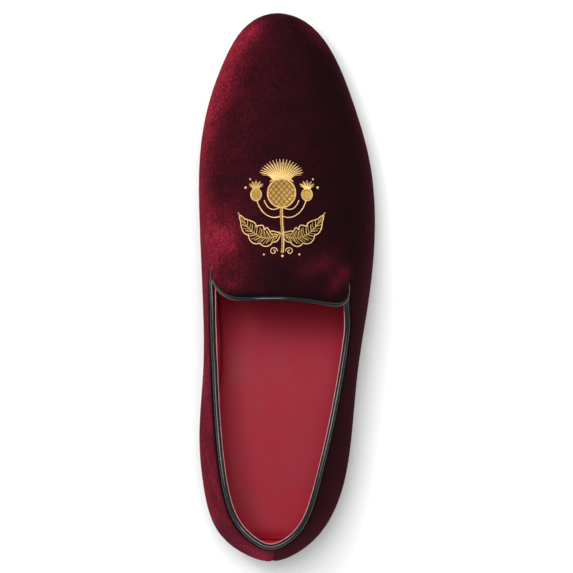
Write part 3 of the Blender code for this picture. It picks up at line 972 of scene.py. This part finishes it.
def make_lining_edge(edge, material):
    """The lining's raw edge, a thin pale line just inside the piping."""
    points, normals, _ = edge
    centre = smoothed(beside_edge(points, normals, RAW_EDGE_DEPTH, RAW_EDGE_REACH))
    made = tube_object("lining_edge", centre, normals, RAW_EDGE_RADIUS, RAW_EDGE_SIDES, material)
    return finish_piece(made, "insole_leather")


# Sole, heel and insole


def sole_edge(station, side, margin):
    """Points of the sole's outline, that far outside the upper's lower edge."""
    sizes = section(station)
    sign = 1 if side == INNER else -1
    spread = margin * np.sin(round_ends(station)) * sign
    points = placed(station, sizes[side + "_foot"] + spread, sizes["foot"], sizes)
    points[..., 0] *= 1 + 2 * margin / LENGTH
    return points


def sole_grid(margin, lift, rows, rear):
    """A grid in the sole's outline, with bowed ends, at a height over the underside."""
    stations = stations_between(rear[0], SOLE_FRONT[0], SOLE_COLUMNS)
    tips = stations.copy()
    tips[0], tips[-1] = rear[1], SOLE_FRONT[1]
    share = np.linspace(0, 1, rows + 1)[None, :]
    inner, outer = (sole_edge(stations, side, margin)[:, None, :] for side in SIDES)
    points = inner + (outer - inner) * share[..., None]
    bow = 1 - (2 * share - 1) ** 2
    tip_x = sole_edge(tips, INNER, margin)[:, None, 0]
    points[..., 0] += (tip_x - points[..., 0]) * bow
    level = stations[:, None] + (tips - stations)[:, None] * bow
    points[..., 2] = sole_bottom(level) + lift
    return points


def solid_sheet(name, points, thickness, bevel, material):
    """A slab with rounded edges on a grid of points."""
    mesh = bmesh.new()
    add_grid(mesh, points)
    made = object_from_bmesh(name, mesh, material)
    thicken(made, thickness, 1).use_even_offset = True
    edge = made.modifiers.new("edge", "BEVEL")
    edge.width = bevel
    edge.segments = BEVEL_SEGMENTS
    edge.limit_method = "ANGLE"
    edge.angle_limit = math.radians(50)
    return made


def make_outsole(edge_leather, tread_leather):
    """The sole: a matt tread below, with a dressed edge."""
    points = sole_grid(SOLE_MARGIN, 0.0, SOLE_ROWS, SOLE_REAR)
    made = solid_sheet("sole", points, SOLE_THICKNESS, SOLE_ROUND, edge_leather)
    made.data.materials.append(tread_leather)
    made.modifiers["wall"].material_offset = 1
    return finish_piece(made, "sole_leather", "outsole")


def make_insole(leather):
    """The padded sock: a soft crown, lower along its edges."""
    points = sole_grid(-SOCK_INSET, SOLE_THICKNESS + CLEARANCE, SOCK_ROWS, SOCK_REAR)
    across = np.linspace(-1, 1, points.shape[1])[None, :]
    along = np.linspace(-1, 1, points.shape[0])[:, None]
    edge = np.maximum(across**SOCK_SIDE_POWER, along**SOCK_END_POWER)
    points[..., 2] += SOCK_CROWN * (1 - edge) - SOCK_SINK
    made = solid_sheet("insole_sock", points, SOCK_THICKNESS, SOCK_ROUND, leather)
    return finish_piece(made, "insole_leather", "insole")


def heel_outline():
    """The heel's outline at the seat: both sides, and the bowed breast between them."""
    seat = stations_between(0.0, BREAST_STATION, HEEL_COLUMNS)
    inner = sole_edge(seat, INNER, SOLE_MARGIN)
    outer = sole_edge(seat[1:], OUTER, SOLE_MARGIN)
    share = np.linspace(0, 1, BREAST_COLUMNS + 1)[1:-1, None]
    breast = outer[-1] + (inner[-1] - outer[-1]) * share
    breast[:, 0] -= BREAST_BOW * (1 - (2 * share[:, 0] - 1) ** 2)
    return np.concatenate([inner[::-1], outer, breast])


def make_heel(leather):
    """The heel block: stacked lifts with fine grooves between them."""
    outline = heel_outline()
    inward = outline.mean(axis=0) - outline
    inward[:, 2] = 0
    inward = unit(inward)
    levels = list(HEEL_FOOT)
    for groove in GROOVES:
        levels += [(groove - GROOVE_HALF, 0.0), (groove, GROOVE_DEPTH), (groove + GROOVE_HALF, 0.0)]
    levels += HEEL_SHOULDER
    mesh = bmesh.new()
    rings = []
    for height, dent in levels:
        ring = outline + inward * (HEEL_TAPER * (1 - height / HEEL_TOP) + dent)
        ring[:, 2] = height
        rings.append([mesh.verts.new(point) for point in ring])
    for low, high in zip(rings, rings[1:]):
        for corners in zip(low, low[1:] + low[:1], high[1:] + high[:1], high):
            mesh.faces.new(corners)
    mesh.faces.new(rings[0][::-1])
    mesh.faces.new(rings[-1])
    bmesh.ops.recalc_face_normals(mesh, faces=mesh.faces)
    made = object_from_bmesh("heel_block", mesh, leather, sharp=40)
    return finish_piece(made, "heel_leather", "heel")


# Sprig


def vamp_height(x, y):
    """Height of the vamp's outer face over a place in plan."""
    sizes = section(x / LENGTH + 0.5)
    inside = y > sizes["ridge"]
    names = ("_edge", "_full")
    edge, full = (np.where(inside, sizes[INNER + name], sizes[OUTER + name]) for name in names)
    reach = np.clip((y - sizes["ridge"]) / (edge - sizes["ridge"]), 0, 0.999)
    rise = (1 - reach**full) ** (1 / full)
    return sizes["bulge"] + (sizes["crest"] - sizes["bulge"]) * rise


def on_vamp(plan, lift):
    """Points and normals on the velvet for places on the sprig, lifted off it."""
    x = SPRIG_ALONG + plan[:, 1] * MM
    y = SPRIG_ACROSS - plan[:, 0] * MM
    height = vamp_height(x, y)
    slope_x = (vamp_height(x + SURFACE_STEP, y) - height) / SURFACE_STEP
    slope_y = (vamp_height(x, y + SURFACE_STEP) - height) / SURFACE_STEP
    normals = unit(np.stack([-slope_x, -slope_y, np.ones_like(x)], axis=-1))
    points = np.stack([x, y, height], axis=-1)
    lifted = soft_form(points) + np.asarray(lift) * MM
    return points + normals * lifted[:, None], normals


def bezier(a, b, c, d, count=30):
    t = np.linspace(0, 1, count)[:, None]
    a, b, c, d = (np.array(point, float) for point in (a, b, c, d))
    return a * (1 - t) ** 3 + 3 * b * t * (1 - t) ** 2 + 3 * c * t**2 * (1 - t) + d * t**3


def drawn(u, v):
    """A line on the sprig through places across and up."""
    return np.stack(np.broadcast_arrays(u, v), axis=1)


def leftward(plan):
    """Unit steps to the left of a line on the sprig."""
    along = np.gradient(plan, axis=0)
    return unit(drawn(-along[:, 1], along[:, 0]))


def stitch(strands, plan, radius, lift):
    """One thread laid on the velvet, its ends drawn in."""
    points, normals = on_vamp(plan, lift)
    radii = np.full(len(plan), radius * MM)
    radii[[0, -1]] *= THREAD_END
    strands.tube(points, normals, radii, THREAD_SIDES, THREAD_FLAT)


def cord(strands, plan, radius=FINE_CORD, lift=0.3):
    """A twisted cord: two thin strands wound round each other."""
    run = run_lengths(plan)
    even = np.linspace(0, run[-1], max(6, int(run[-1] / 0.3)))
    path = drawn(*(np.interp(even, run, part) for part in plan.T))
    for phase in (0, math.pi):
        wind = even / CORD_PITCH * 2 * math.pi + phase
        strand = path + leftward(path) * (0.5 * radius * np.cos(wind))[:, None]
        stitch(strands, strand, 0.62 * radius, lift + 0.45 * radius * np.sin(wind))


def mirrored(plan, sign):
    return plan * (sign, 1.0)


def leaf(gold, light, sign):
    """A lobed leaf: twisted outline, midrib, veins and fine lines between them."""
    rib = bezier(*LEAF_RIB, 61)
    along = np.gradient(rib, axis=0)
    across = leftward(rib)
    t = np.linspace(0, 1, len(rib))
    lobes = 0.62 + 0.38 * np.abs(np.sin(t * 4.5 * math.pi)) ** 0.7
    width = LEAF_HALF * np.sin(np.clip(t * 1.04, 0, 1) * math.pi) ** 0.75 * lobes
    for edge_share, vein_share in LEAF_SIDES:
        outline = rib + across * (width * edge_share)[:, None]
        cord(light, mirrored(outline, sign))
        for i in range(4, 50, 3):
            ahead = i + 5
            reach = min(width[ahead], width[i]) * vein_share
            tip = rib[ahead] + across[ahead] * reach
            vein = bezier(rib[i], rib[i] + (tip - rib[i]) * 0.35, tip - along[i] * 1.2, tip, 7)
            stitch(gold if i % 2 else light, mirrored(vein, sign), VEIN_THREAD, 0.16)
    cord(gold, mirrored(rib, sign), RIB_CORD)


def filled_oval(strands, centre, halves, dome):
    """Rows of short stitches that fill an oval, domed over padding."""
    half_width, half_height = halves
    rows = int(2 * half_height / STITCH_ROW)
    columns = int(2 * half_width / STITCH_PITCH)
    for row in range(rows + 1):
        base = -half_height + 2 * half_height * row / rows - STITCH_LENGTH / 2
        for column in range(columns + 1):
            u = -half_width + 2 * half_width * (column + 0.5 * (row % 2)) / columns
            limit = half_height * math.sqrt(max(0, 1 - (u / half_width) ** 2))
            low, high = max(base, -limit), min(base + STITCH_LENGTH, limit)
            if high - low < SHORTEST_STITCH:
                continue
            v = np.linspace(low, high, 4)
            inside = np.clip(1 - (u / half_width) ** 2 - (v / half_height) ** 2, 0, 1)
            arch = 0.14 * np.sin(np.linspace(0, math.pi, 4))
            plan = drawn(centre[0] + u, centre[1] + v)
            stitch(strands, plan, FILL_THREAD, 0.12 + dome * np.sqrt(inside) + arch)


def oval(centre, halves, margin):
    """A closed oval line, a margin outside its half width and half height."""
    turn = np.linspace(0, 2 * math.pi, 60)
    across, up = (half + margin for half in halves)
    return drawn(centre[0] + across * np.cos(turn), centre[1] + up * np.sin(turn))


def lattice(strands, centre, halves, dome):
    """Crossing lines over the thistle's bulb."""
    half_width, half_height = halves
    u = np.linspace(-1.5, 1.5, 80) * half_width
    for slope in (LATTICE_SLOPE, -LATTICE_SLOPE):
        for i in range(-LATTICE_LINES, LATTICE_LINES + 1):
            v = slope * u + i * LATTICE_SPACING
            inside = 1 - (u / half_width) ** 2 - (v / half_height) ** 2
            keep = inside > 0.05
            if keep.sum() < 5:
                continue
            plan = drawn(centre[0] + u[keep], centre[1] + v[keep])
            stitch(strands, plan, LATTICE_THREAD, 0.42 + dome * np.sqrt(inside[keep]))


def tuft(gold, light, centre, start, length, spread, count):
    """A fan of threads above a bulb, in two layers."""
    for i in range(count):
        share = 2 * i / (count - 1) - 1
        angle = math.radians(spread) * share
        reach = length * (1 - 0.28 * share**2) * (1.0 if i % 2 else 0.86)
        root = np.array([centre[0] + start * math.sin(angle * 0.8), centre[1]])
        tip = root + reach * np.array([math.sin(angle), math.cos(angle)])
        middle = root + reach * 0.5 * np.array([math.sin(angle * 0.6), math.cos(angle * 0.6)])
        lift = 0.35 + 0.5 * np.sin(np.linspace(0.2, math.pi, 8))
        stitch(light if i % 2 else gold, bezier(root, middle, middle, tip, 8), FAN_THREAD, lift)


def knot(strands, u, v, radius):
    """A small raised knot."""
    plan = drawn(u, v + radius * np.linspace(-0.9, 0.9, len(KNOT_PROFILE)))
    points, normals = on_vamp(plan, 0.45 * radius)
    strands.tube(points, normals, radius * MM * np.array(KNOT_PROFILE), 8, THREAD_FLAT)


def curl(strands, centre, radius, sign):
    """A small scroll."""
    turn = np.linspace(0, 2.6 * math.pi, 46)
    size = radius * (1 - turn / (3.3 * math.pi))
    plan = drawn(centre[0] - size * np.cos(turn), centre[1] + size * np.sin(turn))
    cord(strands, mirrored(plan, sign), SCROLL_CORD, 0.24)


def make_sprig():
    """The gold embroidery: filled bulb and buds, twisted outlines, fans and knots."""
    gold, light, shade = Strands(), Strands(), Strands()
    filled_oval(gold, BULB, BULB_HALVES, BULB_DOME)
    lattice(shade, BULB, BULB_HALVES, BULB_DOME)
    cord(light, oval(BULB, BULB_HALVES, 0.2), BULB_CORD)
    tuft(gold, light, (BULB[0], BULB[1] + 6.6), start=5.6, length=12, spread=62, count=37)
    cord(light, bezier(*BULB_RIM), RIM_CORD, 0.8)
    for offset, strands in ((-STEM_HALF, gold), (STEM_HALF, light)):
        cord(strands, bezier(*STEM) + (offset, 0), STEM_CORD)
    for sign in (1, -1):
        leaf(gold, light, sign)
        cord(light, mirrored(bezier(*TWIG), sign))
        bud = (BUD[0] * sign, BUD[1])
        filled_oval(gold, bud, BUD_HALVES, BUD_DOME)
        cord(light, oval(bud, BUD_HALVES, 0.15), BUD_CORD)
        tuft(gold, light, (bud[0], bud[1] + 2.6), start=2, length=5.2, spread=50, count=11)
        curl(light, SCROLL, SCROLL_RADIUS, sign)
        cord(light, mirrored(bezier(*SEPAL), sign))
        for u, v, radius in SIDE_KNOTS:
            knot(light, sign * u, v, radius)
    knot(light, *FOOT_KNOT)
    for name, strands, material in (
        ("sprig_outline", light, thread_material("gold_light", GOLD_LIGHT, 0.3, 0.42)),
        ("sprig_fill", gold, thread_material("gold_fill", GOLD_FILL, 0.3, 0.45)),
        ("sprig_shade", shade, thread_material("gold_shade", GOLD_SHADE, 0.1, 0.6)),
    ):
        finish_piece(strands.build(name, material), "velvet")


# Studio


def studio_sky():
    """A pale sky, brightest overhead and towards the inner side, like a wide softbox."""
    world = bpy.data.worlds.new("sky")
    world.use_nodes = True
    tree = world.node_tree
    way = tree.nodes.new("ShaderNodeTexCoord")
    facing = tree.nodes.new("ShaderNodeVectorMath")
    facing.operation = "DOT_PRODUCT"
    facing.inputs[1].default_value = SKY_AXIS
    level = tree.nodes.new("ShaderNodeMapRange")
    level.interpolation_type = "SMOOTHSTEP"
    for name, value in SKY_RISE.items():
        level.inputs[name].default_value = value
    tree.links.new(way.outputs["Generated"], facing.inputs[0])
    tree.links.new(facing.outputs["Value"], level.inputs["Value"])
    background = tree.nodes["Background"]
    background.inputs["Color"].default_value = (1, 1, 1, 1)
    tree.links.new(level.outputs["Result"], background.inputs["Strength"])
    return world


def make_camera(scene):
    """A camera straight above that frames the shoe as the photo does, toe up."""
    data = bpy.data.cameras.new("camera")
    data.lens = data.sensor_width * (CAMERA_HEIGHT - MIDDLE_HEIGHT) / (PIXEL * PICTURE)
    camera = bpy.data.objects.new("camera", data)
    camera.location = (CENTRE_ALONG, 0, CAMERA_HEIGHT)
    camera.rotation_euler = (0, 0, -math.pi / 2)
    scene.collection.objects.link(camera)
    scene.camera = camera


def make_floor():
    mesh = bmesh.new()
    bmesh.ops.create_grid(mesh, x_segments=1, y_segments=1, size=FLOOR_HALF)
    paper = plain_material("floor_paper", FLOOR_COLOUR, 0.9, 3)
    floor = object_from_bmesh("floor", mesh, paper)


def make_studio():
    """Camera, pale floor, a key light from the toe's inner side and a pale sky."""
    scene = bpy.context.scene
    make_camera(scene)
    make_floor()
    key = bpy.data.lights.new("key", "AREA")
    key.size = KEY_SIZE
    key.energy = KEY_ENERGY
    lamp = bpy.data.objects.new("key", key)
    lamp.location = KEY_PLACE
    lamp.rotation_euler = Vector(-lamp.location).to_track_quat("-Z", "Y").to_euler()
    scene.collection.objects.link(lamp)
    scene.world = studio_sky()
    scene.view_settings.view_transform = "Standard"
    scene.view_settings.look = "None"


def main():
    sock = leather_material("sock_leather", SOCK_COLOURS)
    lining = leather_material("lining_leather", LIT_LINING_COLOURS)
    piping = leather_material("piping_leather", PIPING_COLOURS, 0.11, 1300, 0.34)
    sole = leather_material("sole_edge", SOLE_COLOURS, 0.45, 500, 0.35)
    tread = leather_material("sole_tread", TREAD_COLOURS, 0.6, 350, 0.35)
    pale = plain_material("raw_edge", RAW_EDGE_COLOUR, 0.8)
    make_velvet()
    make_lining(lining)
    collar = joined_run(collar_edge(INNER), collar_edge(OUTER))
    tab = joined_run(tab_edge(OUTER), tab_edge(INNER))
    make_piping("collar_trim", collar, "collar_piping", piping, 1.0, THIN_SHARE)
    make_piping("tab_trim", tab, "tab_piping", piping, THIN_SHARE, 1.0)
    make_lining_edge(collar, pale)
    make_outsole(sole, tread)
    make_heel(sole)
    make_insole(sock)
    make_sprig()
    make_studio()


main()
